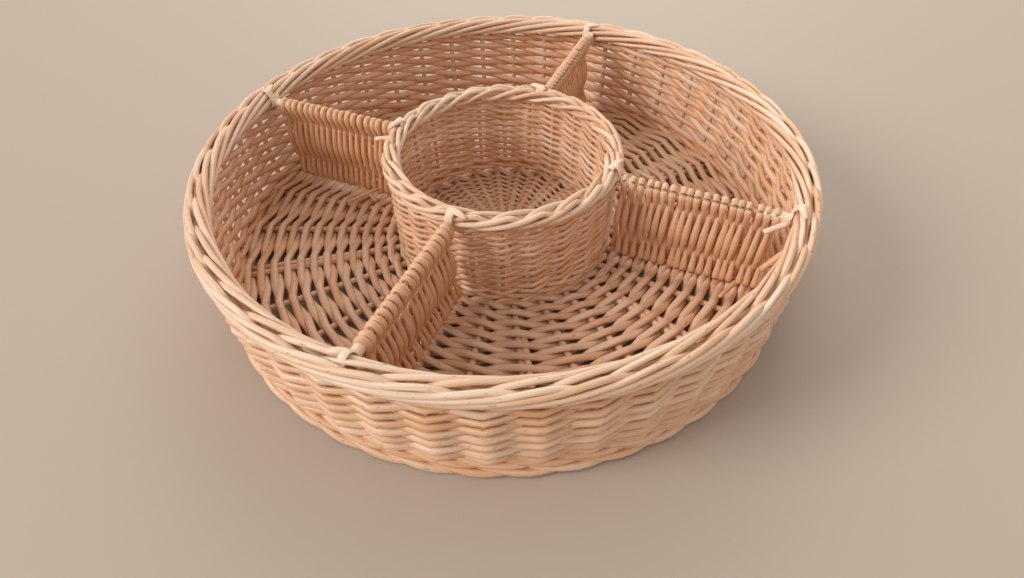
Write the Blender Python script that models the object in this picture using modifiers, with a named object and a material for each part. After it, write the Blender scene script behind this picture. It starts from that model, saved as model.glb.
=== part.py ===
"""Round woven willow basket with four radial dividers and a woven cup in the middle.

Blender 4.5, metres, +Z up. The basket stands on its foot ring at z = 0 with its axis on Z, and the dividers
lie along X and Y. Every strand is a curve with a bevel; stakes and base sticks are primitives joined to the
ring or hub that carries them.
"""

import math

import bmesh
import bpy
from mathutils import Matrix, Vector

# Driving dimensions, in metres.
RIM_RADIUS = 0.200  # outer edge of the rim border
WALL_LEAN = 0.008  # how far the foot ring stands in from the rim
HEIGHT = 0.085  # table to the top of the rim border
CUP_RIM_RADIUS = 0.0795  # outer edge of the cup's border
CUP_LEAN = 0.002  # how far the cup's foot stands in from its border
CUP_TOP_DROP = 0.0005  # how far the cup's top lies under the rim's

STAKE_COUNT = 44
STAKE_SIDE = 0.0032
WALL_ROUNDS = 10
RIM_ROD_RADIUS = 0.0036
RIM_TURNS = 10

BASE_STICK_COUNT = 26
BASE_STICK_SIDE = 0.0028
BASE_ROD_RADIUS = 0.0018
BASE_ROUNDS = 6  # turns of each of the two base weavers
SLATH_RADIUS = 0.050  # crossed sticks bound together at the centre of the base

CUP_STAKE_COUNT = 24
CUP_STAKE_SIDE = 0.0022
CUP_ROUNDS = 8
CUP_RIM_ROD_RADIUS = 0.0030
CUP_RIM_TURNS = 7

DIVIDER_COUNT = 4
DIVIDER_COLUMNS = 13
DIVIDER_ROD_RADIUS = 0.0014
DIVIDER_RAIL_RADIUS = 0.0022
DIVIDER_WEAVER_RADIUS = 0.0014
TIE_RADIUS = 0.0009

TIE_POINTS = 8

GAP = 0.0003  # between pieces that touch
CORNER_GAP = 1.4 * GAP  # between a rod and the corner that it bends round
TABLE_GAP = 0.0005  # under the base weave
SLATH_GAP = 0.003  # between the slath and the first base weaver
RAIL_DROP = 0.0015  # how far a divider's rail lies under the middle of the rim border
DIVIDER_INSET = 0.0065  # from the stakes to the ends of a divider's rods
WEAVER_INSET = 0.001  # from the ends of those rods to the first weaver

# Derived places.
LAY_POINTS = 6  # points of a border rod in one turn round its neighbours
LAY_SHARE = math.cos(math.pi / LAY_POINTS)  # how near a turn's straight stretches come to its middle
RIM_HELIX = (2 * RIM_ROD_RADIUS + 2 * GAP) / math.sqrt(3) / LAY_SHARE
RIM_HALF = RIM_HELIX + RIM_ROD_RADIUS
RIM_CENTRE_RADIUS = RIM_RADIUS - RIM_HALF
RIM_Z = HEIGHT - RIM_HALF

CUP_RIM_HELIX = (CUP_RIM_ROD_RADIUS + GAP) / LAY_SHARE
CUP_RIM_HALF = CUP_RIM_HELIX + CUP_RIM_ROD_RADIUS
CUP_RIM_CENTRE_RADIUS = CUP_RIM_RADIUS - CUP_RIM_HALF
CUP_RIM_Z = HEIGHT - CUP_TOP_DROP - CUP_RIM_HALF

FOOT_RADIUS = RIM_RADIUS - WALL_LEAN
FOOT_HEIGHT = 0.0085
FOOT_WIDTH = 0.013
FOOT_CENTRE_RADIUS = FOOT_RADIUS - FOOT_WIDTH / 2
FOOT_INSIDE = (FOOT_RADIUS - FOOT_WIDTH) * math.cos(math.pi / STAKE_COUNT)  # to the flats of its inner face

CUP_FOOT_RADIUS = CUP_RIM_RADIUS - CUP_LEAN
CUP_FOOT_HEIGHT = 0.0045
CUP_FOOT_WIDTH = 0.0095
CUP_FOOT_CENTRE_RADIUS = CUP_FOOT_RADIUS - CUP_FOOT_WIDTH / 2


def weave_reach(stick_side, rod_radius, spacing):
    """How far a weaver swings from the line of the sticks to clear each stick's corners."""
    clear = stick_side / 2 + rod_radius + CORNER_GAP
    return clear / (1 - stick_side / spacing)


BASE_INNER = SLATH_RADIUS + 2 * BASE_ROD_RADIUS + SLATH_GAP
BASE_OUTER = FOOT_INSIDE - 2 * BASE_ROD_RADIUS


def base_reach(radius):
    return weave_reach(BASE_STICK_SIDE, BASE_ROD_RADIUS, 2 * math.pi * radius / BASE_STICK_COUNT)


BASE_Z = base_reach(BASE_INNER) + BASE_ROD_RADIUS + TABLE_GAP  # middle of the base sticks
BASE_TOP = BASE_Z + base_reach(CUP_FOOT_CENTRE_RADIUS - CUP_FOOT_WIDTH / 2) + BASE_ROD_RADIUS
CUP_FOOT_Z = BASE_TOP + GAP

TIE_HALF = RIM_HALF + 2 * TIE_RADIUS + 2 * GAP
CUP_TIE_HALF = CUP_RIM_HALF + 2 * TIE_RADIUS + 2 * GAP
STAKE_TOP = RIM_Z - RIM_HELIX * LAY_SHARE - RIM_ROD_RADIUS - GAP  # just under the border rods
CUP_STAKE_TOP = CUP_RIM_Z - CUP_RIM_HELIX * LAY_SHARE - CUP_RIM_ROD_RADIUS - GAP
WALL_LOW = FOOT_HEIGHT + GAP
WALL_HIGH = RIM_Z - TIE_HALF - GAP
CUP_WALL_LOW = CUP_FOOT_Z + CUP_FOOT_HEIGHT + GAP
CUP_WALL_HIGH = CUP_RIM_Z - CUP_TIE_HALF - GAP

RAIL_Z = RIM_Z - RAIL_DROP
RAIL_WRAP = DIVIDER_RAIL_RADIUS + DIVIDER_WEAVER_RADIUS + CORNER_GAP
ROD_WRAP = DIVIDER_ROD_RADIUS + DIVIDER_WEAVER_RADIUS + CORNER_GAP
WRAP_STEP = math.radians(60)  # points of a weaver going round a rod
RAIL_REACH = RAIL_WRAP / math.cos(WRAP_STEP / 2)
ROD_REACH = ROD_WRAP / math.cos(WRAP_STEP / 2)
LOW_ROD_Z = BASE_TOP + 2 * GAP + ROD_REACH + DIVIDER_WEAVER_RADIUS
MID_ROD_Z = (LOW_ROD_Z + RAIL_Z) / 2


def clear_scene():
    for obj in list(bpy.data.objects):
        bpy.data.objects.remove(obj, do_unlink=True)


def new_collection(name):
    made = bpy.data.collections.new(name)
    bpy.context.scene.collection.children.link(made)
    return made


def willow(name, colour, roughness):
    made = bpy.data.materials.new(name)
    made.use_nodes = True
    shader = made.node_tree.nodes["Principled BSDF"]
    shader.inputs["Base Color"].default_value = (*colour, 1)
    shader.inputs["Roughness"].default_value = roughness
    shader.inputs["Metallic"].default_value = 0.0
    return made


def strand(name, points, radius, closed, material, collection, sides=4):
    """A willow rod: a bevelled poly curve through the points."""
    curve = bpy.data.curves.new(name, "CURVE")
    curve.dimensions = "3D"
    curve.twist_mode = "Z_UP"
    curve.bevel_depth = radius
    curve.bevel_resolution = (sides - 4) // 2
    curve.use_fill_caps = not closed
    spline = curve.splines.new("POLY")
    spline.points.add(len(points) - 1)
    for point, place in zip(spline.points, points):
        point.co = (*place, 1)
    spline.use_cyclic_u = closed
    curve.materials.append(material)
    obj = bpy.data.objects.new(name, curve)
    collection.objects.link(obj)
    return obj


def polar(radius, angle, z):
    return Vector((radius * math.cos(angle), radius * math.sin(angle), z))


def mesh_object(name, mesh, material, collection):
    mesh.materials.append(material)
    obj = bpy.data.objects.new(name, mesh)
    collection.objects.link(obj)
    return obj


def ring(name, centre_radius, width, low, high, steps, material, collection):
    """A ring of rectangular section with eased upper corners and a flat underside, turned by a Screw."""
    ease = 0.25 * min(width, high - low)
    inner = centre_radius - width / 2
    outer = centre_radius + width / 2
    profile = [
        (inner, low),
        (outer, low),
        (outer, high - ease),
        (outer - ease, high),
        (inner + ease, high),
        (inner, high - ease),
    ]
    mesh = bpy.data.meshes.new(name)
    count = len(profile)
    mesh.from_pydata([(r, 0, z) for r, z in profile], [(i, (i + 1) % count) for i in range(count)], [])
    obj = mesh_object(name, mesh, material, collection)
    turn = obj.modifiers.new("turn", "SCREW")
    turn.axis = "Z"
    turn.angle = 2 * math.pi
    turn.steps = steps
    turn.render_steps = steps
    turn.use_merge_vertices = True
    turn.merge_threshold = 1e-5
    turn.use_normal_calculate = True
    return obj


def square_posts(name, ends, side, cutters):
    """One mesh of square posts, each from a foot to a head, with a face towards the axis."""
    built = bmesh.new()
    for foot, head in ends:
        along = head - foot
        out = Vector((foot.x + head.x, foot.y + head.y, 0)).normalized()
        if abs(along.normalized().z) < 0.5:
            out = Vector((0, 0, 1))
        across = along.cross(out).normalized()
        frame = Matrix((across, along.cross(across).normalized(), along.normalized())).transposed().to_4x4()
        frame.translation = (foot + head) / 2
        bmesh.ops.create_cone(
            built,
            cap_ends=True,
            segments=4,
            radius1=side / math.sqrt(2),
            radius2=side / math.sqrt(2),
            depth=along.length,
            matrix=frame @ Matrix.Rotation(math.pi / 4, 4, "Z"),
        )
    bmesh.ops.recalc_face_normals(built, faces=built.faces)
    mesh = bpy.data.meshes.new(name)
    built.to_mesh(mesh)
    built.free()
    obj = bpy.data.objects.new(name, mesh)
    obj.hide_render = True
    obj.display_type = "WIRE"
    cutters.objects.link(obj)
    return obj


def join(obj, other):
    union = obj.modifiers.new("join", "BOOLEAN")
    union.operation = "UNION"
    union.solver = "EXACT"
    union.object = other


def wall_radius(z):
    """Middle of the leaning wall at a height."""
    low = FOOT_CENTRE_RADIUS
    share = (z - FOOT_HEIGHT) / (RIM_Z - FOOT_HEIGHT)
    return low + (RIM_CENTRE_RADIUS - low) * share


def cup_radius(z):
    """Middle of the cup's wall at a height."""
    share = (z - CUP_FOOT_Z) / (CUP_RIM_Z - CUP_FOOT_Z)
    return CUP_FOOT_CENTRE_RADIUS + (CUP_RIM_CENTRE_RADIUS - CUP_FOOT_CENTRE_RADIUS) * share


def stakes_on_ring(name, count, side, ring_obj, radius_at, low, high, cutters):
    """Stakes stand half a step off the dividers and are one piece with the ring that carries them."""
    angles = [(i + 0.5) * 2 * math.pi / count for i in range(count)]
    ends = [(polar(radius_at(low), a, low), polar(radius_at(high), a, high)) for a in angles]
    join(ring_obj, square_posts(name + "_posts", ends, side, cutters))


def weave_rounds(prefix, count, rounds, side, low, high, radius_at, material, collection):
    """Rounds of weaving: a rod goes outside one stake and inside the next, the next round the other way."""
    pitch = (high - low) / rounds
    rod = (pitch - GAP) / 2
    for k in range(rounds):
        z = low + (k + 0.5) * pitch
        middle = radius_at(z)
        reach = weave_reach(side, rod, 2 * math.pi * middle / count)
        points = []
        for i in range(count):
            swing = reach if (i + k) % 2 else -reach
            points.append(polar(middle + swing, (i + 0.5) * 2 * math.pi / count, z))
        strand(f"{prefix}_{k + 1:02d}", points, rod, True, material, collection)


def rope_border(prefix, strands, turns, centre_radius, z, helix, rod, material, collection):
    """Border rods laid round each other, as the rods of a rod border cross the rim."""
    steps = LAY_POINTS * turns
    for k in range(strands):
        points = []
        for i in range(steps):
            angle = 2 * math.pi * i / steps
            lay = turns * angle + 2 * math.pi * k / strands
            points.append(polar(centre_radius + helix * math.cos(lay), angle, z - helix * math.sin(lay)))
        strand(f"{prefix}_{k + 1}", points, rod, True, material, collection)


def base(material, collection, cutters):
    """Crossed base sticks on their slath, with two weavers that chase each other outwards."""
    bpy.ops.mesh.primitive_cylinder_add(
        vertices=BASE_STICK_COUNT, radius=SLATH_RADIUS, depth=2 * BASE_STICK_SIDE, location=(0, 0, BASE_Z)
    )
    slath = bpy.context.object
    slath.name = "base_sticks"
    for owner in slath.users_collection:
        owner.objects.unlink(slath)
    collection.objects.link(slath)
    slath.data.materials.append(material)
    far = FOOT_INSIDE - GAP
    angles = [(i + 0.5) * 2 * math.pi / BASE_STICK_COUNT for i in range(BASE_STICK_COUNT)]
    near = SLATH_RADIUS - 2 * BASE_STICK_SIDE
    ends = [(polar(near, a, BASE_Z), polar(far, a, BASE_Z)) for a in angles]
    join(slath, square_posts("base_sticks_posts", ends, BASE_STICK_SIDE, cutters))

    step = (BASE_OUTER - BASE_INNER) / (BASE_ROUNDS + 0.5)
    for k in range(2):
        points = []
        for i in range(BASE_ROUNDS * BASE_STICK_COUNT):
            radius = BASE_INNER + step * (i / BASE_STICK_COUNT + k / 2)
            swing = base_reach(radius) if (i + k) % 2 else -base_reach(radius)
            angle = (i + 0.5) * 2 * math.pi / BASE_STICK_COUNT
            points.append(polar(radius, angle, BASE_Z + swing))
        strand(f"base_weave_{k + 1}", points, BASE_ROD_RADIUS, False, material, collection)


def divider_points(near, far):
    """A weaver going up one side, over the rail, down the other and under the low rod, again and again."""
    pitch = (far - near) / (DIVIDER_COLUMNS - 1)
    arc = [i * WRAP_STEP for i in range(4)]
    points = []
    for i in range(DIVIDER_COLUMNS):
        x = near + i * pitch
        rising = i % 2 == 0
        side = 1 if rising else -1
        points.append(Vector((x, -side * ROD_REACH, MID_ROD_Z)))
        if i == DIVIDER_COLUMNS - 1:
            break
        middle_z = RAIL_Z if rising else LOW_ROD_Z
        reach = RAIL_REACH if rising else ROD_REACH
        for j, angle in enumerate(arc):
            place = x + pitch * j / 3
            rise = reach * math.sin(angle) * side
            points.append(Vector((place, side * reach * math.cos(angle), middle_z + rise)))
    return points


def dividers(rail_material, weave_material, collection):
    cup_face = cup_radius(RAIL_Z) + CUP_RIM_HALF + 2 * GAP
    wall_face = RIM_CENTRE_RADIUS - RIM_HALF - 2 * GAP
    rod_near = cup_radius(MID_ROD_Z) + CUP_STAKE_SIDE + DIVIDER_INSET
    rod_far = wall_radius(LOW_ROD_Z) - STAKE_SIDE - DIVIDER_INSET
    for k in range(DIVIDER_COUNT):
        angle = 2 * math.pi * k / DIVIDER_COUNT
        carrier = bpy.data.objects.new(f"divider_{k + 1}_place", None)
        carrier.rotation_euler = (0, 0, angle)
        collection.objects.link(carrier)
        made = []
        lines = [("rail", cup_face, wall_face, RAIL_Z, DIVIDER_RAIL_RADIUS)]
        lines.append(("mid_rod", rod_near, rod_far, MID_ROD_Z, DIVIDER_ROD_RADIUS))
        lines.append(("low_rod", rod_near, rod_far, LOW_ROD_Z, DIVIDER_ROD_RADIUS))
        for part, start, end, z, radius in lines:
            points = [Vector((start, 0, z)), Vector((end, 0, z))]
            made.append(
                strand(f"divider_{k + 1}_{part}", points, radius, False, rail_material, collection, sides=8)
            )
        margin = DIVIDER_WEAVER_RADIUS + WEAVER_INSET
        points = divider_points(rod_near + margin, rod_far - margin)
        made.append(
            strand(f"divider_{k + 1}_weave", points, DIVIDER_WEAVER_RADIUS, False, weave_material, collection)
        )
        made += ties(k, weave_material, collection)
        for obj in made:
            obj.parent = carrier


def ties(k, material, collection):
    """A skein loop round the rim and one round the cup's border, each beside the end of the rail."""
    made = []
    aside = DIVIDER_RAIL_RADIUS + TIE_RADIUS + GAP
    for place, centre, z, half in (
        ("rim", RIM_CENTRE_RADIUS, RIM_Z, RIM_HALF),
        ("cup", CUP_RIM_CENTRE_RADIUS, CUP_RIM_Z, CUP_RIM_HALF),
    ):
        across = math.sqrt(centre**2 - aside**2)
        reach = (half + TIE_RADIUS + GAP) / math.cos(math.pi / TIE_POINTS)
        points = []
        for i in range(TIE_POINTS):
            turn = 2 * math.pi * (i + 0.5) / TIE_POINTS
            points.append(Vector((across + reach * math.cos(turn), aside, z + reach * math.sin(turn))))
        made.append(strand(f"divider_{k + 1}_{place}_tie", points, TIE_RADIUS, True, material, collection))
    return made


def main():
    clear_scene()
    basket = new_collection("woven_divided_basket")
    cutters = new_collection("cutters")
    cutters.hide_render = True
    wall_willow = willow("wall_willow", (0.64, 0.36, 0.15), 0.45)
    border_willow = willow("border_willow", (0.70, 0.44, 0.21), 0.42)
    base_willow = willow("base_willow", (0.66, 0.42, 0.21), 0.48)
    cup_willow = willow("cup_willow", (0.62, 0.34, 0.14), 0.45)
    divider_willow = willow("divider_willow", (0.60, 0.31, 0.12), 0.45)
    skein = willow("skein", (0.72, 0.50, 0.27), 0.50)

    foot = ring(
        "outer_stakes", FOOT_CENTRE_RADIUS, FOOT_WIDTH, 0.0, FOOT_HEIGHT, STAKE_COUNT, wall_willow, basket
    )
    stakes_on_ring(
        "outer_stakes", STAKE_COUNT, STAKE_SIDE, foot, wall_radius, FOOT_HEIGHT / 2, STAKE_TOP, cutters
    )
    weave_rounds(
        "side_weave",
        STAKE_COUNT,
        WALL_ROUNDS,
        STAKE_SIDE,
        WALL_LOW,
        WALL_HIGH,
        wall_radius,
        wall_willow,
        basket,
    )
    rope_border(
        "rim_rod", 3, RIM_TURNS, RIM_CENTRE_RADIUS, RIM_Z, RIM_HELIX, RIM_ROD_RADIUS, border_willow, basket
    )
    base(base_willow, basket, cutters)

    cup_top = CUP_FOOT_Z + CUP_FOOT_HEIGHT
    cup_foot = ring(
        "cup_stakes",
        CUP_FOOT_CENTRE_RADIUS,
        CUP_FOOT_WIDTH,
        CUP_FOOT_Z,
        cup_top,
        CUP_STAKE_COUNT,
        cup_willow,
        basket,
    )
    stakes_on_ring(
        "cup_stakes",
        CUP_STAKE_COUNT,
        CUP_STAKE_SIDE,
        cup_foot,
        cup_radius,
        (CUP_FOOT_Z + cup_top) / 2,
        CUP_STAKE_TOP,
        cutters,
    )
    weave_rounds(
        "cup_weave",
        CUP_STAKE_COUNT,
        CUP_ROUNDS,
        CUP_STAKE_SIDE,
        CUP_WALL_LOW,
        CUP_WALL_HIGH,
        cup_radius,
        cup_willow,
        basket,
    )
    rope_border(
        "cup_rim_rod",
        2,
        CUP_RIM_TURNS,
        CUP_RIM_CENTRE_RADIUS,
        CUP_RIM_Z,
        CUP_RIM_HELIX,
        CUP_RIM_ROD_RADIUS,
        border_willow,
        basket,
    )
    dividers(divider_willow, skein, basket)


main()
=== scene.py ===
"""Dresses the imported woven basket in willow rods, with a floor, light and a camera."""

import math

import bpy
import numpy as np
from mathutils import Matrix, Vector


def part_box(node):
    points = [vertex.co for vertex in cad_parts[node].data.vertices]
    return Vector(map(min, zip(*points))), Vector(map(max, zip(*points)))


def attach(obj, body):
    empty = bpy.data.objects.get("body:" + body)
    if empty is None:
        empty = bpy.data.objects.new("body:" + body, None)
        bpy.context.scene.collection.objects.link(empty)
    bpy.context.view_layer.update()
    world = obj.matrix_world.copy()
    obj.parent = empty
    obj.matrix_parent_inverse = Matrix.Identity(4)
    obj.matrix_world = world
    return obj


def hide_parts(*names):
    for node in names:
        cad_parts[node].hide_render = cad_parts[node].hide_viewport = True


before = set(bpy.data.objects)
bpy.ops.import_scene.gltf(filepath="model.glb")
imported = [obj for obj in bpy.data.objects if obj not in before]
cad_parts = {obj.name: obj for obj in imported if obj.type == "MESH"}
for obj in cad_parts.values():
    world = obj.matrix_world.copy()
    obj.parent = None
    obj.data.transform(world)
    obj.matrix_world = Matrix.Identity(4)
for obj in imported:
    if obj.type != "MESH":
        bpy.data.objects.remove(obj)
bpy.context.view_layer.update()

bl_info = {
    "name": "Woven Divided Basket",
    "version": (1, 0, 0),
    "blender": (4, 5, 0),
    "location": "View3D > Sidebar > Basket",
    "description": "Weaves a round willow basket with four dividers and a cup over its packed solids",
    "category": "Add Mesh",
}

SEED = 41
STAKE_OFFSET = 0.5  # the first stake or base stick stands half a step round from +X


def reach_of(*nodes):
    """How far ring-like nodes reach out along X at rest, and their lowest and highest z."""
    boxes = [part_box(n) for n in nodes]
    low = min(b[0][2] for b in boxes)
    high = max(b[1][2] for b in boxes)
    far = max(b[1][0] for b in boxes)
    return far, low, high


def nodes_like(prefix):
    """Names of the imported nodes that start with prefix."""
    return sorted(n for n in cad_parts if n.startswith(prefix))


RIM_NODES = nodes_like("rim_rod")
CUP_RIM_NODES = nodes_like("cup_rim_rod")
WALL_NODES = nodes_like("side_weave")
CUP_NODES = nodes_like("cup_weave")
RIM_FAR, RIM_LOW, RIM_TOP = reach_of(*RIM_NODES)
CUP_FAR, CUP_RIM_LOW, CUP_TOP = reach_of(*CUP_RIM_NODES)
STAKE_FAR, _, STAKE_TOP = reach_of("outer_stakes")
CUP_STAKE_FAR, CUP_LOW, CUP_STAKE_TOP = reach_of("cup_stakes")
RIM_Z = (RIM_LOW + RIM_TOP) / 2
CUP_RIM_Z = (CUP_RIM_LOW + CUP_TOP) / 2
RIM_HALF = (RIM_TOP - RIM_LOW) / 2
CUP_RIM_HALF = (CUP_TOP - CUP_RIM_LOW) / 2
RIM_MID = RIM_FAR - RIM_HALF
RIM_FLATNESS = 0.94  # height of the laid rods over the solid rim's
CUP_RIM_MID = CUP_FAR - CUP_RIM_HALF
BASE_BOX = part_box("base_sticks")
BASE_Z = (BASE_BOX[0][2] + BASE_BOX[1][2]) / 2


class BasketSizes(bpy.types.PropertyGroup):
    """Rod counts and thicknesses of the weave."""

    stakes: bpy.props.IntProperty(
        name="Stakes", description="Upright stakes in the outer wall", default=44, min=8
    )
    cup_stakes: bpy.props.IntProperty(
        name="Cup Stakes", description="Upright stakes in the cup", default=24, min=8
    )
    spokes: bpy.props.IntProperty(
        name="Base Sticks", description="Sticks that run out across the base", default=26, min=8
    )
    wall_rod: bpy.props.FloatProperty(
        name="Wall Rod", description="Thickness of a wall weaver", default=0.0041, unit="LENGTH", precision=4
    )
    border_rod: bpy.props.FloatProperty(
        name="Border Rod", description="Thickness of a rim rod", default=0.0036, unit="LENGTH", precision=4
    )
    base_rod: bpy.props.FloatProperty(
        name="Base Rod", description="Thickness of a base weaver", default=0.0053, unit="LENGTH", precision=4
    )
    cup_rod: bpy.props.FloatProperty(
        name="Cup Rod", description="Thickness of a cup weaver", default=0.0026, unit="LENGTH", precision=4
    )
    divider_rod: bpy.props.FloatProperty(
        name="Divider Rod", description="Thickness of a divider weaver", default=0.0032, unit="LENGTH",
        precision=4,
    )


class BasketColours(bpy.types.PropertyGroup):
    """Colours of the peeled willow and of the floor."""

    light: bpy.props.FloatVectorProperty(
        name="Pale Willow", description="Palest colour of the peeled rods", subtype="COLOR", size=3,
        default=(0.84, 0.60, 0.44),
    )
    dark: bpy.props.FloatVectorProperty(
        name="Tan Willow", description="Darkest colour of the peeled rods", subtype="COLOR", size=3,
        default=(0.70, 0.385, 0.20),
    )
    knot: bpy.props.FloatVectorProperty(
        name="Knot", description="Colour of knots and bark flecks", subtype="COLOR", size=3,
        default=(0.20, 0.085, 0.03),
    )
    # As the border rods' pale colour, the skein colour is also a painted sheen that whitens their highlights.
    skein: bpy.props.FloatVectorProperty(
        name="Skein", description="Colour of the bindings and the pale border rods", subtype="COLOR", size=3,
        default=(0.86, 0.66, 0.50),
    )
    floor: bpy.props.FloatVectorProperty(
        name="Floor", description="Colour of the plain floor", subtype="COLOR", size=3,
        default=(0.465, 0.382, 0.312),
    )


def tubes(paths, outward, radius, closed=False, sides=10, flat=1.0):
    """Profiles carried along paths.

    paths is (rods, points, 3) and outward a direction at each point. At each point a circle of the given
    radius, squeezed by flat along outward, stands square to the path: point + radius (flat cos a n +
    sin a b), where n is outward made square to the path and b is the path's direction crossed with n.
    Returns vertices, quads, caps, a (length, round) pair for each quad corner and the rod number of each
    vertex.
    """
    rods, points, _ = paths.shape
    if closed:
        along = np.roll(paths, -1, axis=1) - np.roll(paths, 1, axis=1)
    else:
        along = np.gradient(paths, axis=1)
    along /= np.linalg.norm(along, axis=2, keepdims=True)
    normal = outward - (outward * along).sum(2, keepdims=True) * along
    normal /= np.linalg.norm(normal, axis=2, keepdims=True)
    side = np.cross(along, normal)
    size = np.broadcast_to(np.asarray(radius, float), (rods, points))
    turn = np.linspace(0, 2 * np.pi, sides, endpoint=False)
    ring = flat * np.cos(turn)[:, None] * normal[:, :, None] + np.sin(turn)[:, None] * side[:, :, None]
    vertices = paths[:, :, None] + size[:, :, None, None] * ring

    index = np.arange(rods * points * sides).reshape(rods, points, sides)
    ahead = np.roll(index, -1, axis=1) if closed else index[:, 1:]
    here = index if closed else index[:, :-1]
    quads = np.stack([here, np.roll(here, -1, 2), np.roll(ahead, -1, 2), ahead], axis=3).reshape(-1, 4)

    step = np.linalg.norm(np.diff(paths, axis=1, append=paths[:, :1]), axis=2)
    length = np.concatenate([np.zeros((rods, 1)), np.cumsum(step, axis=1)], axis=1)
    spans = points if closed else points - 1
    near = np.broadcast_to(length[:, :spans, None], (rods, spans, sides))
    far = np.broadcast_to(length[:, 1 : spans + 1, None], (rods, spans, sides))
    low = np.broadcast_to(np.arange(sides) / sides, (rods, spans, sides))
    high = low + 1 / sides
    square = ((near, low), (near, high), (far, high), (far, low))
    corners = np.stack([np.stack(corner, 3) for corner in square], axis=3).reshape(-1, 2)
    caps = np.zeros((0, sides), int) if closed else np.concatenate([index[:, 0, ::-1], index[:, -1]])
    owner = np.broadcast_to(np.arange(rods)[:, None, None], (rods, points, sides)).reshape(-1)
    return vertices.reshape(-1, 3), quads, caps, corners, owner


def willow_mesh(name, parts, material, seed):
    """One object from several sets of tubes, with a length-and-round UV map and a tone for each rod."""
    longest_shift = 40
    noise = np.random.default_rng(seed)
    vertices, loops, starts, corners, tones = [], [], [], [], []
    first = loop_count = 0
    for points, quads, caps, uv, owner in parts:
        shift = noise.uniform(0, longest_shift, owner.max() + 1)
        vertices.append(points)
        tones.append(noise.uniform(0, 1, owner.max() + 1)[owner])
        moved = uv.copy()
        moved[:, 0] += np.repeat(shift[owner[quads[:, 0]]], 4)
        cap_uv = np.zeros((caps.size, 2))
        loops += [quads.ravel() + first, caps.ravel() + first]
        starts += [loop_count + 4 * np.arange(len(quads))]
        loop_count += quads.size
        starts += [loop_count + caps.shape[1] * np.arange(len(caps))]
        loop_count += caps.size
        corners += [moved, cap_uv]
        first += len(points)
    mesh = bpy.data.meshes.new(name)
    points = np.concatenate(vertices)
    chain = np.concatenate(loops)
    begins = np.concatenate(starts)
    mesh.vertices.add(len(points))
    mesh.vertices.foreach_set("co", points.ravel())
    mesh.loops.add(len(chain))
    mesh.loops.foreach_set("vertex_index", chain.astype(np.int32))
    mesh.polygons.add(len(begins))
    mesh.polygons.foreach_set("loop_start", begins.astype(np.int32))
    mesh.polygons.foreach_set("use_smooth", np.ones(len(begins), bool))
    layer = mesh.uv_layers.new(name="rod")
    layer.data.foreach_set("uv", np.concatenate(corners).ravel())
    tone = mesh.attributes.new("tone", "FLOAT", "POINT")
    tone.data.foreach_set("value", np.concatenate(tones))
    mesh.update(calc_edges=True)
    mesh.validate()
    mesh.materials.append(material)
    obj = bpy.data.objects.new(name, mesh)
    bpy.context.scene.collection.objects.link(obj)
    return obj


def place(obj, slot, *nodes):
    """Puts a piece on the part's one body and in place of its nodes, which it hides; the slot is not used."""
    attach(obj, "root")
    if nodes:
        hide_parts(*nodes)


def round_axis(radius, angle, z):
    """Points on circles about Z, and the direction straight out from the axis at each."""
    radius, angle, z = np.broadcast_arrays(radius, angle, z)
    points = np.stack([radius * np.cos(angle), radius * np.sin(angle), z], axis=-1)
    out = np.stack([np.cos(angle), np.sin(angle), np.zeros_like(angle)], axis=-1)
    return points, out


def bend_wave(t):
    """A wave between -1 and 1 that peaks at whole t, nearly straight between: arcsine of a cosine."""
    stiff = 0.9992
    return np.arcsin(stiff * np.cos(np.pi * t)) / math.asin(stiff)


def wobble(noise, rods, points, size, waves=3):
    """A slow drift along each rod: a few sine waves of random phase."""
    t = np.linspace(0, 1, points)
    total = np.zeros((rods, points))
    for k in range(1, waves + 1):
        phase = noise.uniform(0, 2 * np.pi, (rods, 1))
        height = noise.normal(0, 1, (rods, 1)) / k
        total += height * np.sin(2 * np.pi * k * t + phase)
    return size * total


def french_rand(count, rod, stake, low, high, radius_low, radius_high, belly, fill, taper, seed):
    """Weaving with as many rods as stakes.

    Each rod starts at its own stake, passes outside and inside the stakes in turn and climbs about a rod's
    thickness at each, so the rods stack evenly all round. It bends further outside a stake than inside. The
    wall swells by belly halfway up, and fill is a rod's width over the height that it takes up. A rod is
    thicker at its start and thinner at its end by taper, and its climb follows its thickness.
    """
    flat = 0.78
    bend_outside, bend_inside = 0.98, 0.74
    drift_up, drift_out = 0.00030, 0.00016
    spread, swell = 0.06, 0.03
    noise = np.random.default_rng(seed)
    steps = int(round((high - low) / rod))
    samples = 8 * steps + 9
    t = np.linspace(-0.5, steps + 0.5, samples)[None]
    start = np.arange(count)[:, None] + STAKE_OFFSET
    angle = (start + t) * 2 * np.pi / count
    way = np.clip(t / steps, 0, 1)
    share = way * (1 + taper - taper * way)
    z = low + (high - low) * share + wobble(noise, count, samples, drift_up)
    wave = bend_wave(t)
    reach = np.where(wave > 0, bend_outside, bend_inside) * (stake + fill * rod * flat) / 2
    middle = radius_low + (radius_high - radius_low) * share + 4 * belly * share * (1 - share)
    radius = middle + reach * wave + wobble(noise, count, samples, drift_out)
    points, out = round_axis(radius, angle, z)
    width = fill + noise.normal(0, spread, (count, 1)) + wobble(noise, count, samples, swell)
    thick = rod / 2 * (1 + taper - 2 * taper * way) * width
    return tubes(points, out, thick, sides=10, flat=flat)


def uprights(count, rod, low, high, radius_low, radius_high, belly=0.0):
    """Stakes from the foot to under the border, swelling outwards by belly halfway up."""
    t = np.linspace(0, 1, 12)[None]
    angle = (np.arange(count)[:, None] + STAKE_OFFSET) * 2 * np.pi / count + 0 * t
    radius = radius_low + (radius_high - radius_low) * t + 4 * belly * t * (1 - t)
    points, out = round_axis(radius, angle, low + (high - low) * t)
    return tubes(points, out, rod / 2, sides=10)


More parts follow.
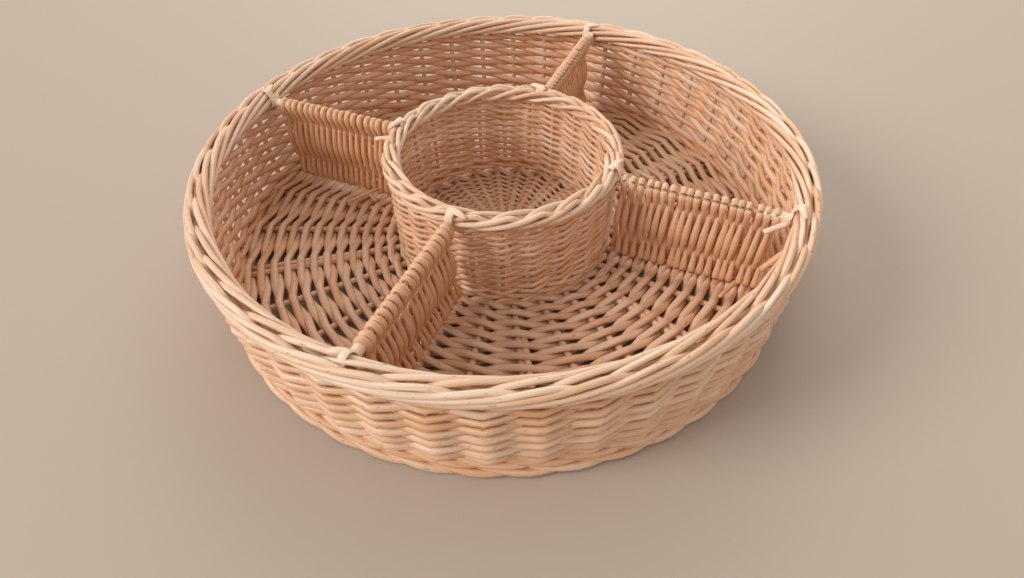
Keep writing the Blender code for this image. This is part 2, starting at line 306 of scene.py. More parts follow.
def wale(strands, turns, rod, radius, z, across, rise, phase=0.0):
    """Rods laid round each other in a ring: radius + across cos, z + rise sin, of turns times the angle."""
    angle = np.linspace(0, 2 * np.pi, 16 * turns, endpoint=False)[None]
    lay = phase - turns * angle + 2 * np.pi * np.arange(strands)[:, None] / strands
    points, out = round_axis(radius + across * np.cos(lay), angle + 0 * lay, z + rise * np.sin(lay))
    return tubes(points, out, rod / 2, closed=True, sides=10)


def smooth_through(where, knots, values):
    """A curve through values at knots: cubic pieces whose slopes come from the neighbouring values."""
    slope = np.gradient(values, knots)
    piece = np.clip(np.searchsorted(knots, where, side="right") - 1, 0, len(knots) - 2)
    span = knots[piece + 1] - knots[piece]
    t = (where - knots[piece]) / span
    begin = (2 * t**3 - 3 * t**2 + 1) * values[piece] + (t**3 - 2 * t**2 + t) * span * slope[piece]
    return begin + (3 * t**2 - 2 * t**3) * values[piece + 1] + (t**3 - t**2) * span * slope[piece + 1]


# How a border rod lies on the rim's section: steps along the rod, then out from and up from the section's
# middle, as shares of its half size. It climbs the outer face, dives under the next rod on top and comes out
# again towards the inside.
BORDER_LAY = np.array([
    (0.0, 0.15, -0.90), (0.7, 0.75, -0.62), (1.7, 1.00, -0.08), (2.7, 0.86, 0.52), (3.5, 0.52, 0.92),
    (4.15, 0.22, 0.08), (4.5, 0.0, 0.70), (4.85, -0.22, 0.94), (5.5, -0.64, 0.80), (6.3, -0.98, 0.25),
    (7.0, -0.85, -0.40), (7.6, -0.35, -0.70),
])


def rod_border(count, rod, radius, z, half_wide, half_high, reach, seed):
    """Border of turned-down stakes.

    Rod k comes out under the rim at stake k and follows the border's lay over the next reach stakes: radius
    plus out times the half width, z plus up times the half height. Each rod is the last one moved on by a
    stake, with a small drift, and is a little thinner at its end.
    """
    stake_drift, lay_drift = 0.07, 0.02
    thick_start, thinning, spread, swell = 1.06, 0.16, 0.06, 0.025
    noise = np.random.default_rng(seed)
    samples = 16 * reach + 1
    w = np.linspace(0, 1, samples)[None]
    start = np.arange(count)[:, None] + STAKE_OFFSET + noise.normal(0, stake_drift, (count, 1))
    angle = (start + reach * w) * 2 * np.pi / count
    steps, lay_out, lay_up = BORDER_LAY.T
    passed = w * steps[-1] + 0 * start
    out_share = smooth_through(passed, steps, lay_out) + wobble(noise, count, samples, lay_drift)
    up_share = smooth_through(passed, steps, lay_up) + wobble(noise, count, samples, lay_drift)
    wide, high = half_wide - rod / 2, half_high - rod / 2
    points, out = round_axis(radius + wide * out_share, angle, z + high * up_share)
    width = thick_start - thinning * w + noise.normal(0, spread, (count, 1))
    width = width + wobble(noise, count, samples, swell)
    return tubes(points, out, rod / 2 * width, sides=12)


def paired_round(spokes, rod, stick, radius, z, seed):
    """Two weavers that cross between the base sticks.

    Each goes over a stick where the other goes under, lies beside the other halfway to the next stick, and
    runs straight from stick to stick: the round's circle is cut to the chords between the sticks, and the
    rise and the move aside are bent waves.
    """
    flat = 0.74
    sink, aside, swell = 0.84, 0.40, 0.05
    noise = np.random.default_rng(seed)
    angle = np.linspace(0, 2 * np.pi, 10 * spokes, endpoint=False)[None]
    pair = np.arange(2)[:, None]
    turn = spokes * angle / 2 - np.pi / 2 + np.pi * pair
    high = sink * (rod * flat + stick) / 2 * bend_wave(turn / np.pi)
    half_step = np.pi / spokes
    chord = np.cos(half_step) / np.cos(np.mod(angle + half_step, 2 * half_step) - half_step)
    out = radius * chord + rod * aside * bend_wave(turn / np.pi - 0.5)
    points, _ = round_axis(out, angle + 0 * turn, z + high)
    up = np.broadcast_to(np.array([0.0, 0.0, 1.0]), points.shape)
    thick = rod / 2 * (1 + swell * np.sin(angle * noise.integers(3, 7) + noise.uniform(0, 6, (2, 1))))
    return tubes(points, up, thick, closed=True, sides=8, flat=flat)


def spoke_sticks(count, rod, near, far, z, seed):
    """Base sticks from the bound crossing to the foot, thinner at the edge; every third one has a partner."""
    beside, thick_start, thinning, spread = 0.13, 1.06, 0.16, 0.05
    noise = np.random.default_rng(seed)
    t = np.linspace(0, 1, 8)[None]
    single = np.arange(count) + STAKE_OFFSET
    paired = single[::3] + beside * noise.choice([-1, 1], len(single[::3]))
    place_round = np.concatenate([single, paired])[:, None]
    inner = np.concatenate([np.full(count, near), np.full(len(paired), (near + far) / 2)])[:, None]
    points, _ = round_axis(inner + (far - inner) * t, place_round * 2 * np.pi / count + 0 * t, z + 0 * t)
    up = np.broadcast_to(np.array([0.0, 0.0, 1.0]), points.shape)
    size = thick_start - thinning * t + noise.normal(0, spread, (len(place_round), 1))
    return tubes(points, up, rod / 2 * size, sides=10)


def slath_bars(count, rod, reach, z):
    """Two layers of bars crossing at the centre of the base, one over the other."""
    place_across = (np.arange(count) - (count - 1) / 2) * rod
    t = np.linspace(-1, 1, 8)
    along = np.broadcast_to(t * reach, (count, 8))
    across = np.broadcast_to(place_across[:, None], (count, 8))
    over = np.stack([along, across, np.full((count, 8), z + rod * 0.5)], axis=2)
    under = np.stack([across, along, np.full((count, 8), z - rod * 0.5)], axis=2)
    paths = np.concatenate([over, under])
    up = np.broadcast_to(np.array([0.0, 0.0, 1.0]), paths.shape)
    clear = 0.98
    return tubes(paths, up, rod / 2 * clear, sides=10)


def spun(points, turn):
    """Points turned about Z."""
    c, s = math.cos(turn), math.sin(turn)
    return points @ np.array([[c, s, 0], [-s, c, 0], [0, 0, 1.0]])


def divider_weaver(turn, near, far, low, high, rod, swing, lean, pairs, seed):
    """One weaver that goes up and down between the rods of a divider.

    Height is the middle less half the height times cos p, the swing to either side is sin 3p, so the weaver
    passes the low rod, the middle rod and the rail on alternate sides, and the place along the divider grows
    with p. The lean spreads the top outwards, most at the far end, so the weave follows the wall. The weaver
    is flattened, and broadest on the divider's faces and at its top and bottom.
    """
    flat, narrow, broad_face, broad_top = 0.74, 0.95, 0.50, 0.30
    beat, sway_size, swell, waves = 48, 0.0005, 0.05, 9
    sharp, turned_up = 6, 0.9
    noise = np.random.default_rng(seed)
    p = np.linspace(0, 2 * np.pi * pairs, beat * pairs + 1)
    sway = np.repeat(noise.normal(0, sway_size, pairs + 1), beat)[: len(p)]
    x = near + (far - near + lean * (1 - np.cos(p)) / 2) * p / p[-1] + sway
    y = swing * np.sin(3 * p)
    z = (low + high) / 2 - (high - low) / 2 * np.cos(p)
    path = spun(np.stack([x, y, z], axis=1), turn)[None]
    out = spun(np.stack([0 * x, np.ones_like(x), 0 * x], axis=1), turn)[None]
    lift = np.abs(np.cos(p))[:, None] ** sharp
    out = out * (1 - turned_up * lift) + np.array([0, 0, 1.0]) * np.sign(-np.cos(p))[:, None] * lift
    broad = narrow + np.maximum(broad_face * np.sin(3 * p) ** 2, broad_top * lift[:, 0])
    thick = rod / 2 * broad * (1 + wobble(noise, 1, len(p), swell, waves))
    return tubes(path, out, thick, sides=10, flat=flat)


def straight_rod(turn, near, far, z, rod):
    """A straight rod along a divider."""
    x = np.linspace(near, far, 12)
    path = spun(np.stack([x, 0 * x, 0 * x + z], axis=1), turn)[None]
    up = np.broadcast_to(np.array([0, 0, 1.0]), path.shape)
    return tubes(path, up, rod / 2, sides=12)


def cut_ends(turn, starts, ends, rod):
    """Short rods with cut ends: straight lines from starts to ends, a little thinner towards the end."""
    t = np.linspace(0, 1, 6)[None, :, None]
    paths = np.asarray(starts)[:, None] * (1 - t) + np.asarray(ends)[:, None] * t
    up = np.broadcast_to(np.array([0, 0, 1.0]), paths.shape)
    thinning = 0.25
    return tubes(spun(paths, turn), up, rod / 2 * (1 - thinning * t[:, :, 0]), sides=10, flat=0.8)


def skein_loop(turn, centre, z, half_wide, half_high, width, turns):
    """A flat strip wound round the border beside a rail: an oval helix whose section is wide and thin."""
    samples, spacing = int(30 * turns), 0.9
    p = np.linspace(-np.pi * turns, np.pi * turns, samples)
    drift = width * spacing * p / (2 * np.pi)
    path = np.stack([centre + half_wide * np.cos(p), drift, z + half_high * np.sin(p)], axis=1)
    out = np.stack([np.cos(p), 0 * p, np.sin(p)], axis=1)
    return tubes(spun(path, turn)[None], spun(out, turn)[None], width / 2, sides=12, flat=0.24)


def skein_coil(turn, centre, z, reach, width, turns):
    """A flat strip wound round the end of a rail: a helix about the rail."""
    samples = int(26 * turns)
    p = np.linspace(-np.pi * turns, np.pi * turns, samples)
    path = np.stack([centre + width * p / (2 * np.pi), reach * np.cos(p), z + reach * np.sin(p)], axis=1)
    out = np.stack([0 * p, np.cos(p), np.sin(p)], axis=1)
    return tubes(spun(path, turn)[None], spun(out, turn)[None], width / 2, sides=10, flat=0.30)


def skein_tip(turn, centre, z, way, rod, length):
    """The cut end of a binding: a short pointed rod that lies over the border, bowed up in its middle."""
    slant, behind, bow, blunt = 0.35, 0.15, 0.10, 0.02
    t = np.linspace(0, 1, 14)
    x = centre + slant * length * (t - 0.5)
    y = way * length * (t - behind)
    path = np.stack([x, y, z + bow * length * np.sin(np.pi * t)], axis=1)
    up = np.broadcast_to(np.array([0, 0, 1.0]), path.shape)
    shape = np.sqrt(np.clip(1 - t**3, blunt, 1))
    return tubes(spun(path, turn)[None], spun(up, turn)[None], rod / 2 * shape, sides=10, flat=0.55)


def linked(tree, source, target):
    """Joins two sockets of a node tree."""
    tree.links.new(source, target)


def group_socket(tree, name, way, kind):
    """Adds a socket to a node group's interface."""
    tree.interface.new_socket(name=name, in_out=way, socket_type=kind)


def node(tree, kind, **settings):
    """Adds a node with its settings to a node tree."""
    made = tree.nodes.new(kind)
    for key, value in settings.items():
        setattr(made, key, value)
    return made


def willow_grain():
    """Node group: colour, roughness and height of peeled willow, from a rod's length and round and its tone.

    Long streaks follow the rod, a slow drift makes pale and tan stretches, small flecks are knots and bark,
    and the tone moves a whole rod between pale and tan.
    """
    tree = bpy.data.node_groups.new("willow_grain", "ShaderNodeTree")
    group_socket(tree, "Pale", "INPUT", "NodeSocketColor")
    group_socket(tree, "Tan", "INPUT", "NodeSocketColor")
    group_socket(tree, "Knot", "INPUT", "NodeSocketColor")
    group_socket(tree, "Tone And Shade Shift", "INPUT", "NodeSocketFloat")
    group_socket(tree, "Flecks", "INPUT", "NodeSocketFloat")
    group_socket(tree, "Color", "OUTPUT", "NodeSocketColor")
    group_socket(tree, "Roughness", "OUTPUT", "NodeSocketFloat")
    group_socket(tree, "Height", "OUTPUT", "NodeSocketFloat")
    inlet = node(tree, "NodeGroupInput")
    outlet = node(tree, "NodeGroupOutput")
    uv = node(tree, "ShaderNodeUVMap", uv_map="rod")
    tone = node(tree, "ShaderNodeAttribute", attribute_name="tone")

    def streaks(length_scale, round_scale, detail):
        stretch = node(tree, "ShaderNodeMapping")
        stretch.inputs["Scale"].default_value = (length_scale, round_scale, 1)
        linked(tree, uv.outputs["UV"], stretch.inputs["Vector"])
        pattern = node(tree, "ShaderNodeTexNoise")
        pattern.inputs["Scale"].default_value = 1.0
        pattern.inputs["Detail"].default_value = detail
        linked(tree, stretch.outputs["Vector"], pattern.inputs["Vector"])
        return pattern.outputs["Fac"]

    fine = streaks(length_scale=30, round_scale=10, detail=4)
    drift = streaks(length_scale=14, round_scale=1.3, detail=3)
    fleck_noise = streaks(length_scale=170, round_scale=6, detail=2)

    def math_node(operation, first, second):
        made = node(tree, "ShaderNodeMath", operation=operation)
        for socket, value in zip(made.inputs, (first, second)):
            if isinstance(value, float):
                socket.default_value = value
            else:
                linked(tree, value, socket)
        return made.outputs[0]

    tone_share, drift_share, fine_share, fleck_depth = 0.60, 1.0, 1.05, 0.5
    mixed = math_node("MULTIPLY", tone.outputs["Fac"], tone_share)
    mixed = math_node("ADD", mixed, math_node("MULTIPLY", drift, drift_share))
    mixed = math_node("ADD", mixed, math_node("MULTIPLY", fine, fine_share))
    # The shift leans a whole kind of piece towards tan; on the dividers it is partly painted shade.
    mixed = math_node("ADD", mixed, inlet.outputs["Tone And Shade Shift"])
    spread = node(tree, "ShaderNodeMapRange")
    spread.inputs["From Min"].default_value = 0.88
    spread.inputs["From Max"].default_value = 1.80
    linked(tree, mixed, spread.inputs["Value"])
    blend = node(tree, "ShaderNodeMix", data_type="RGBA")
    linked(tree, spread.outputs["Result"], blend.inputs["Factor"])
    linked(tree, inlet.outputs["Pale"], blend.inputs["A"])
    linked(tree, inlet.outputs["Tan"], blend.inputs["B"])

    fleck = node(tree, "ShaderNodeMapRange")
    fleck.inputs["From Min"].default_value = 0.64
    fleck.inputs["From Max"].default_value = 0.74
    linked(tree, fleck_noise, fleck.inputs["Value"])
    fleck_share = math_node("MULTIPLY", fleck.outputs["Result"], inlet.outputs["Flecks"])
    marked = node(tree, "ShaderNodeMix", data_type="RGBA")
    linked(tree, fleck_share, marked.inputs["Factor"])
    linked(tree, blend.outputs["Result"], marked.inputs["A"])
    linked(tree, inlet.outputs["Knot"], marked.inputs["B"])
    linked(tree, marked.outputs["Result"], outlet.inputs["Color"])

    rough = node(tree, "ShaderNodeMapRange")
    rough.inputs["To Min"].default_value = 0.38
    rough.inputs["To Max"].default_value = 0.58
    linked(tree, fine, rough.inputs["Value"])
    linked(tree, rough.outputs["Result"], outlet.inputs["Roughness"])
    height = math_node("SUBTRACT", fine, math_node("MULTIPLY", fleck.outputs["Result"], fleck_depth))
    linked(tree, height, outlet.inputs["Height"])
    return tree


def willow(name, pale, tan, knot, tone_and_shade_shift, flecks):
    """Peeled willow: the grain group feeds a satin Principled shader and its bump."""
    grain_tree = bpy.data.node_groups.get("willow_grain") or willow_grain()
    material = bpy.data.materials.new(name)
    material.use_nodes = True
    tree = material.node_tree
    shader = tree.nodes["Principled BSDF"]
    grain = node(tree, "ShaderNodeGroup", node_tree=grain_tree)
    grain.inputs["Pale"].default_value = (*pale, 1)
    grain.inputs["Tan"].default_value = (*tan, 1)
    grain.inputs["Knot"].default_value = (*knot, 1)
    grain.inputs["Tone And Shade Shift"].default_value = tone_and_shade_shift
    grain.inputs["Flecks"].default_value = flecks
    bump = node(tree, "ShaderNodeBump")
    bump.inputs["Strength"].default_value = 0.6
    bump.inputs["Distance"].default_value = 0.0006
    linked(tree, grain.outputs["Color"], shader.inputs["Base Color"])
    linked(tree, grain.outputs["Roughness"], shader.inputs["Roughness"])
    linked(tree, grain.outputs["Height"], bump.inputs["Height"])
    linked(tree, bump.outputs["Normal"], shader.inputs["Normal"])
    shader.inputs["Specular IOR Level"].default_value = 0.70
    return material


# How far each kind of piece leans from pale to tan, and how many knots and bark flecks show on it. The
# dividers' strong lean to tan is partly darker rods and partly painted shade: the warm orange of their shaded
# faces.
WILLOW_TONE_AND_SHADE = {"wall": 0.16, "border": 0.0, "base": 0.09, "cup": 0.08, "divider": 0.37, "skein": 0.0}
WILLOW_FLECKS = {"wall": 0.5, "border": 0.6, "base": 0.5, "cup": 0.5, "divider": 0.5, "skein": 0.2}


def willow_of(context, kind):
    """The willow of a kind of piece, made once; the frame's own plain materials keep the slot names."""
    name = "split_skein" if kind == "skein" else f"peeled_{kind}"
    made = bpy.data.materials.get(name)
    if made:
        return made
    colours = context.scene.basket_colours
    # The border rods take the paler skein colour: a painted sheen, their highlights whitened as glare would
    # whiten them.
    pale = colours.skein if kind in ("border", "skein") else colours.light
    tan = colours.light if kind == "skein" else colours.dark
    return willow(name, pale, tan, colours.knot, WILLOW_TONE_AND_SHADE[kind], WILLOW_FLECKS[kind])


class BASKET_OT_wall(bpy.types.Operator):
    """Weaves the outer wall on its stakes, with the two rope-like rows at the foot"""

    bl_idname = "basket.wall"
    bl_label = "Weave Wall"

    def execute(self, context):
        sizes = context.scene.basket_sizes
        inset, belly = 0.0036, 0.0022
        low_radius = STAKE_FAR - inset
        willow_wall = willow_of(context, "wall")
        wall = french_rand(
            sizes.stakes, sizes.wall_rod, stake=0.0036, low=0.0140, high=RIM_LOW + 0.003,
            radius_low=low_radius, radius_high=RIM_MID, belly=belly, fill=1.20, taper=0.17, seed=SEED,
        )
        place(willow_mesh("wall_weave", [wall], willow_wall, SEED), "wall_willow", *WALL_NODES)
        stakes = uprights(
            sizes.stakes, rod=0.0042, low=0.004, high=STAKE_TOP + 0.004, radius_low=low_radius,
            radius_high=RIM_MID, belly=belly,
        )
        place(willow_mesh("wall_stakes", [stakes], willow_wall, SEED + 1), "wall_willow", "outer_stakes")
        rows = [
            wale(
                strands=3, turns=15, rod=0.0050, radius=STAKE_FAR - 0.0014, z=0.0045, across=0.0028,
                rise=0.0018,
            ),
            wale(
                strands=3, turns=15, rod=0.0047, radius=STAKE_FAR - 0.0024, z=0.0108, across=0.0029,
                rise=0.0019, phase=1.0,
            ),
        ]
        place(willow_mesh("foot_wale", rows, willow_wall, SEED + 2), "wall_willow")
        return {"FINISHED"}


class BASKET_OT_border(bpy.types.Operator):
    """Lays the rod border on the rim"""

    bl_idname = "basket.border"
    bl_label = "Lay Border"

    def execute(self, context):
        sizes = context.scene.basket_sizes
        rods = rod_border(
            sizes.stakes, sizes.border_rod, RIM_MID, RIM_Z, half_wide=RIM_HALF,
            half_high=RIM_HALF * RIM_FLATNESS, reach=9, seed=SEED + 3,
        )
        core = wale(
            strands=3, turns=9, rod=0.0030, radius=RIM_MID, z=RIM_Z - 0.0010, across=0.0018, rise=0.0016
        )
        made = willow_mesh("rim_border", [rods, core], willow_of(context, "border"), SEED + 3)
        place(made, "border_willow", *RIM_NODES)
        return {"FINISHED"}


class BASKET_OT_base(bpy.types.Operator):
    """Weaves the base on its sticks and the crossed bars at its centre"""

    bl_idname = "basket.base"
    bl_label = "Weave Base"

    def execute(self, context):
        sizes = context.scene.basket_sizes
        stick, inset = 0.0047, 0.0086
        edge = STAKE_FAR - inset
        willow_base = willow_of(context, "base")
        sticks = [
            spoke_sticks(sizes.spokes, stick, near=0.019, far=edge, z=BASE_Z, seed=SEED + 4),
            slath_bars(count=7, rod=0.0040, reach=0.022, z=BASE_Z),
        ]
        place(willow_mesh("base_sticks_willow", sticks, willow_base, SEED + 4), "base_willow", "base_sticks")
        fine_share, fine_stick, fine_near, fine_far = 0.52, 0.0034, 0.0225, 0.0705
        outer_near, outer_rounds, outer_seed = 0.0745, 13, SEED + 50
        fine_rod = sizes.base_rod * fine_share
        inner = np.arange(fine_near, fine_far, 2 * fine_rod)
        outer = np.linspace(outer_near, edge, outer_rounds)
        rounds = [
            paired_round(sizes.spokes, fine_rod, fine_stick, r, BASE_Z, SEED + i) for i, r in enumerate(inner)
        ]
        rounds += [
            paired_round(sizes.spokes, sizes.base_rod, stick, r, BASE_Z, outer_seed + i)
            for i, r in enumerate(outer)
        ]
        made = willow_mesh("base_weave_willow", rounds, willow_base, SEED + 5)
        place(made, "base_willow", "base_weave_1", "base_weave_2")
        return {"FINISHED"}


class BASKET_OT_cup(bpy.types.Operator):
    """Weaves the cup in the middle, with its stakes, foot and border"""

    bl_idname = "basket.cup"
    bl_label = "Weave Cup"

    def execute(self, context):
        sizes = context.scene.basket_sizes
        inset, border_rod = 0.0048, 0.0034
        low_radius = CUP_STAKE_FAR - inset
        willow_cup = willow_of(context, "cup")
        wall = french_rand(
            sizes.cup_stakes, sizes.cup_rod, stake=0.0030, low=CUP_LOW + 0.0055, high=CUP_RIM_LOW + 0.002,
            radius_low=low_radius, radius_high=CUP_RIM_MID, belly=0.0, fill=1.24, taper=0.08, seed=SEED + 6,
        )
        place(willow_mesh("cup_wall", [wall], willow_cup, SEED + 6), "cup_willow", *CUP_NODES)
        stakes = uprights(
            sizes.cup_stakes, rod=0.0030, low=CUP_LOW, high=CUP_STAKE_TOP + 0.004, radius_low=low_radius,
            radius_high=CUP_RIM_MID,
        )
        foot = wale(
            strands=3, turns=8, rod=0.0032, radius=low_radius, z=CUP_LOW + 0.0030, across=0.0028, rise=0.0012
        )
        made = willow_mesh("cup_stakes_willow", [stakes, foot], willow_cup, SEED + 7)
        place(made, "cup_willow", "cup_stakes")
        rods = rod_border(
            sizes.cup_stakes, border_rod, CUP_RIM_MID, CUP_RIM_Z, half_wide=CUP_RIM_HALF,
            half_high=CUP_RIM_HALF * 0.95, reach=5, seed=SEED + 8,
        )
        core = wale(
            strands=3, turns=6, rod=0.0024, radius=CUP_RIM_MID, z=CUP_RIM_Z - 0.0008, across=0.0014,
            rise=0.0012,
        )
        made = willow_mesh("cup_border", [rods, core], willow_of(context, "border"), SEED + 8)
        place(made, "border_willow", *CUP_RIM_NODES)
        return {"FINISHED"}


# Two of the four dividers, counted round from +X, as the camera sees them.
RIGHT_DIVIDER = 0
LEFT_DIVIDER = 2
DIVIDER_SLIM = 0.68  # thickness of a divider's long rods over the solids'


def long_rod(turn, node_name):
    """A straight rod in place of a solid bar of the first divider, turned to its own divider."""
    low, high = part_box(node_name)
    return straight_rod(turn, low[0], high[0], (low[2] + high[2]) / 2, DIVIDER_SLIM * (high[2] - low[2]))


def foot_ends(turn, k):
    """Three cut rod ends that lie on the base at a divider's foot; two of the left divider's cross."""
    lie = BASE_Z + 0.0092
    starts = [(0.146, 0.001, lie), (0.166, -0.001, lie + 0.002), (0.104, 0.001, lie)]
    ends = [(0.157, 0.019, lie), (0.158, -0.018, lie), (0.098, 0.014, lie)]
    if k == LEFT_DIVIDER:
        starts[0], ends[0] = (0.122, 0.002, lie + 0.002), (0.100, 0.0135, lie)
        starts[2], ends[2] = (0.104, 0.002, lie + 0.003), (0.120, 0.0225, lie)
    return cut_ends(turn, starts, ends, rod=0.0034)


def divider_rods(turn, k, rail_end, rail_z):
    """The rail, the middle rod, the low rod and the cut ends of a divider."""
    rods = [long_rod(turn, f"divider_1_{part}") for part in ("rail", "mid_rod", "low_rod")]
    rods.append(foot_ends(turn, k))
    if k == RIGHT_DIVIDER:
        side = rail_end + 0.004
        starts, ends = [(side, -0.018, rail_z - 0.009)], [(side - 0.011, -0.026, rail_z - 0.021)]
        rods.append(cut_ends(turn, starts, ends, rod=0.0048))
    return rods


def divider_ties(turn, k, rail_start, rail_end, rail_z):
    """The bindings at the rim and the cup, the wound and the bare end of the rail, and loose ends."""
    over = 0.0006
    cup_side = CUP_RIM_MID + CUP_RIM_HALF / 2
    ties = [
        skein_loop(
            turn, RIM_MID - RIM_HALF / 2, RIM_Z, half_wide=RIM_HALF * 0.6,
            half_high=RIM_HALF * RIM_FLATNESS + over, width=0.0050, turns=1.15,
        ),
        skein_loop(
            turn, cup_side, CUP_RIM_Z, half_wide=CUP_RIM_HALF * 0.62, half_high=CUP_RIM_HALF + over,
            width=0.0054, turns=1.15,
        ),
        skein_coil(turn, rail_start + 0.0040, rail_z, reach=0.0028, width=0.0028, turns=3.0),
        straight_rod(turn, rail_end - 0.014, rail_end + 0.003, rail_z, rod=0.0066),
        skein_tip(turn, cup_side, CUP_TOP - 0.0012, way=1, rod=0.0050, length=0.013),
        skein_tip(turn, RIM_MID - RIM_HALF * 0.45, RIM_TOP - 0.0012, way=-1, rod=0.0046, length=0.010),
    ]
    if k == RIGHT_DIVIDER:
        side = rail_end + 0.001
        starts, ends = [(side, -0.003, rail_z - 0.001)], [(side - 0.012, -0.010, rail_z - 0.006)]
        ties.append(cut_ends(turn, starts, ends, rod=0.0046))
    if k == LEFT_DIVIDER:
        side = CUP_RIM_MID + CUP_RIM_HALF - 0.001
        starts, ends = [(side, 0.0045, rail_z - 0.003)], [(side + 0.014, 0.0105, rail_z - 0.004)]
        ties.append(cut_ends(turn, starts, ends, rod=0.0046))
    return ties


class BASKET_OT_dividers(bpy.types.Operator):
    """Weaves the four dividers and binds them to the rim and the cup"""

    bl_idname = "basket.dividers"
    bl_label = "Weave Dividers"

    def execute(self, context):
        rod = context.scene.basket_sizes.divider_rod
        rail_low, rail_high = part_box("divider_1_rail")
        rod_low, rod_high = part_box("divider_1_low_rod")
        weave_low, weave_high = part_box("divider_1_weave")
        rail_z = (rail_low[2] + rail_high[2]) / 2
        swing = (DIVIDER_SLIM * (rail_high[2] - rail_low[2]) + rod) / 2
        willow_divider = willow_of(context, "divider")
        for k in range(4):
            turn = k * math.pi / 2
            name = f"divider_{k + 1}"
            weaver = divider_weaver(
                turn, rod_low[0], rod_high[0], low=weave_low[2] + rod / 2, high=weave_high[2] - rod / 2,
                rod=rod, swing=swing, lean=0.001, pairs=19, seed=SEED + 10 + k,
            )
            made = willow_mesh(f"{name}_weaver", [weaver], willow_divider, SEED + 10 + k)
            place(made, "divider_willow", f"{name}_weave")
            rods = divider_rods(turn, k, rail_high[0], rail_z)
            made = willow_mesh(f"{name}_rods", rods, willow_divider, SEED + 20 + k)
            place(made, "divider_rod", f"{name}_rail", f"{name}_mid_rod", f"{name}_low_rod")
            ties = divider_ties(turn, k, rail_low[0], rail_high[0], rail_z)
            made = willow_mesh(f"{name}_ties", ties, willow_of(context, "skein"), SEED + 30 + k)
            place(made, "skein", f"{name}_rim_tie", f"{name}_cup_tie")
        return {"FINISHED"}


class BASKET_OT_stage(bpy.types.Operator):
    """Sets the floor, the light and the camera"""

    bl_idname = "basket.stage"
    bl_label = "Set Stage"

    def execute(self, context):
        floor_and_light(context)
        camera_at_photo(context)
        return {"FINISHED"}


def floor_and_light(context):
    """A plain floor, an even pale sky, daylight from the left and a soft lamp behind."""
    bpy.ops.mesh.primitive_plane_add(size=6, location=(0, 0, 0))
    floor = bpy.context.object
    floor.name = "floor"
    material = bpy.data.materials.new("floor")
    material.use_nodes = True
    shader = material.node_tree.nodes["Principled BSDF"]
    shader.inputs["Base Color"].default_value = (*context.scene.basket_colours.floor, 1)
    shader.inputs["Roughness"].default_value = 0.6
    floor.data.materials.append(material)
    world = bpy.data.worlds.new("studio")
    context.scene.world = world
    world.use_nodes = True
    sky = world.node_tree.nodes["Background"]
    sky.inputs["Color"].default_value = (1.0, 0.96, 0.92, 1)
    sky.inputs["Strength"].default_value = 0.67
    window_light(context, from_point=(-0.98, -0.21, 0.60), strength=1.98, colour=(1.0, 0.98, 0.95))
    area_light("fill", place_at=(0.1, 1.2, 1.0), size=1.2, power=9, colour=(1.0, 0.95, 0.90))


def window_light(context, from_point, strength, colour):
    """Broad daylight from the left: a sun wide enough for soft shadows, turned with the camera."""
    lamp = bpy.data.lights.new("window", "SUN")
    sun_width = 26
    lamp.angle = math.radians(sun_width)
    lamp.energy = strength
    lamp.color = colour
    obj = bpy.data.objects.new("window", lamp)
    spot = Matrix.Rotation(math.radians(CAMERA_AZIMUTH), 3, "Z") @ Vector(from_point)
    obj.rotation_euler = (-spot).to_track_quat("-Z", "Y").to_euler()
    context.scene.collection.objects.link(obj)


def area_light(name, place_at, size, power, colour):
    """A soft square lamp that faces the basket; places are turned with the camera."""
    lamp = bpy.data.lights.new(name, "AREA")
    lamp.size = size
    lamp.energy = power
    lamp.color = colour
    obj = bpy.data.objects.new(name, lamp)
    spot = Matrix.Rotation(math.radians(CAMERA_AZIMUTH), 3, "Z") @ Vector(place_at)
    obj.location = spot
    obj.rotation_euler = (-spot).to_track_quat("-Z", "Y").to_euler()
    bpy.context.scene.collection.objects.link(obj)


# The camera: fitted to the rim, the foot and the cup in the photograph, then moved a little by comparing
# pictures. Azimuth and elevation are in degrees, the roll in radians, the sensor in mm, places in metres.
IMAGE_WIDTH = 1024
FOCAL_PIXELS = 638.6
SENSOR = 36.0
CAMERA_AZIMUTH = 23.54
CAMERA_ELEVATION = 46.10
CAMERA_DISTANCE = 0.4780
CAMERA_ROLL = -0.0224
CAMERA_ASIDE = 0.0043
CAMERA_UP = -0.0382


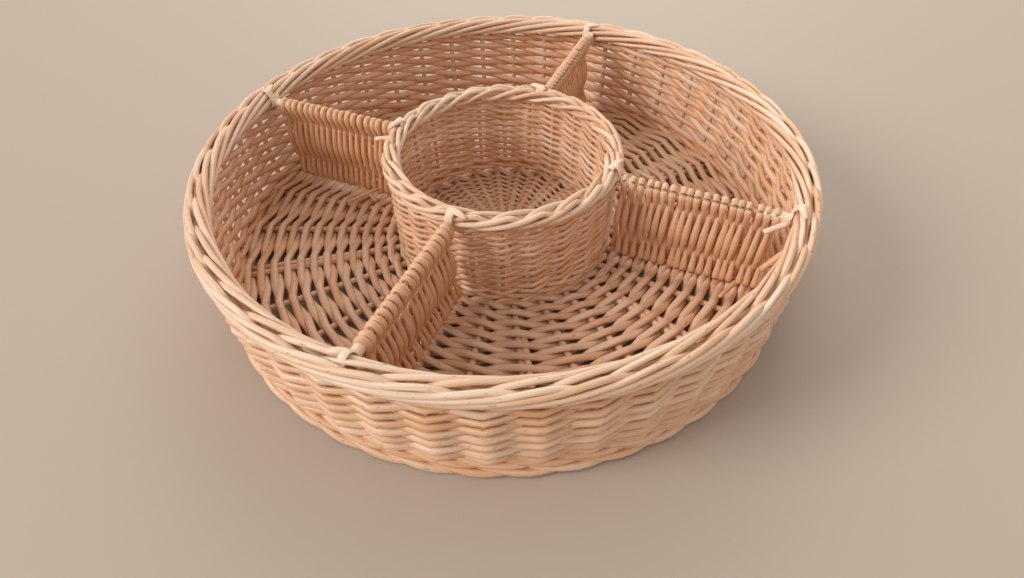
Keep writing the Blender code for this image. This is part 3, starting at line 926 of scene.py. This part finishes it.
def camera_at_photo(context):
    """A camera at the photograph's viewing angle, with colours shown as they are."""
    lens = bpy.data.cameras.new("photo_camera")
    lens.sensor_width = SENSOR
    lens.lens = SENSOR * FOCAL_PIXELS / IMAGE_WIDTH
    lens.clip_start = 0.01
    obj = bpy.data.objects.new("photo_camera", lens)
    context.scene.collection.objects.link(obj)
    tilt = math.radians(CAMERA_ELEVATION)
    ahead = Vector((0, math.cos(tilt), -math.sin(tilt)))
    right = Vector((1, 0, 0))
    up = right.cross(ahead)
    spot = -ahead * CAMERA_DISTANCE + right * CAMERA_ASIDE + up * CAMERA_UP
    rolled_right = right * math.cos(CAMERA_ROLL) + up * math.sin(CAMERA_ROLL)
    rolled_up = up * math.cos(CAMERA_ROLL) - right * math.sin(CAMERA_ROLL)
    turned = Matrix((rolled_right, rolled_up, -ahead)).transposed().to_4x4()
    turned.translation = spot
    obj.matrix_world = Matrix.Rotation(math.radians(CAMERA_AZIMUTH), 4, "Z") @ turned
    context.scene.camera = obj
    context.scene.view_settings.view_transform = "Standard"


class BASKET_PT_panel(bpy.types.Panel):
    """Lists the steps that dress the basket"""

    bl_idname = "BASKET_PT_panel"
    bl_label = "Woven Basket"
    bl_space_type = "VIEW_3D"
    bl_region_type = "UI"
    bl_category = "Basket"

    def draw(self, context):
        for group in (context.scene.basket_sizes, context.scene.basket_colours):
            for name in group.__annotations__:
                self.layout.prop(group, name)
        for step in STEPS:
            self.layout.operator(step.bl_idname)


STEPS = (BASKET_OT_wall, BASKET_OT_border, BASKET_OT_base, BASKET_OT_cup, BASKET_OT_dividers, BASKET_OT_stage)
CLASSES = (BasketSizes, BasketColours, *STEPS, BASKET_PT_panel)


def register():
    """Makes the steps, the panel and the settings known to Blender."""
    for made in CLASSES:
        bpy.utils.register_class(made)
    bpy.types.Scene.basket_sizes = bpy.props.PointerProperty(type=BasketSizes)
    bpy.types.Scene.basket_colours = bpy.props.PointerProperty(type=BasketColours)


def unregister():
    """Takes them away again."""
    del bpy.types.Scene.basket_colours
    del bpy.types.Scene.basket_sizes
    for made in reversed(CLASSES):
        bpy.utils.unregister_class(made)


def main():
    """Dresses the basket step by step."""
    register()
    bpy.ops.basket.wall()
    bpy.ops.basket.border()
    bpy.ops.basket.base()
    bpy.ops.basket.cup()
    bpy.ops.basket.dividers()
    bpy.ops.basket.stage()


if __name__ == "__main__":
    main()
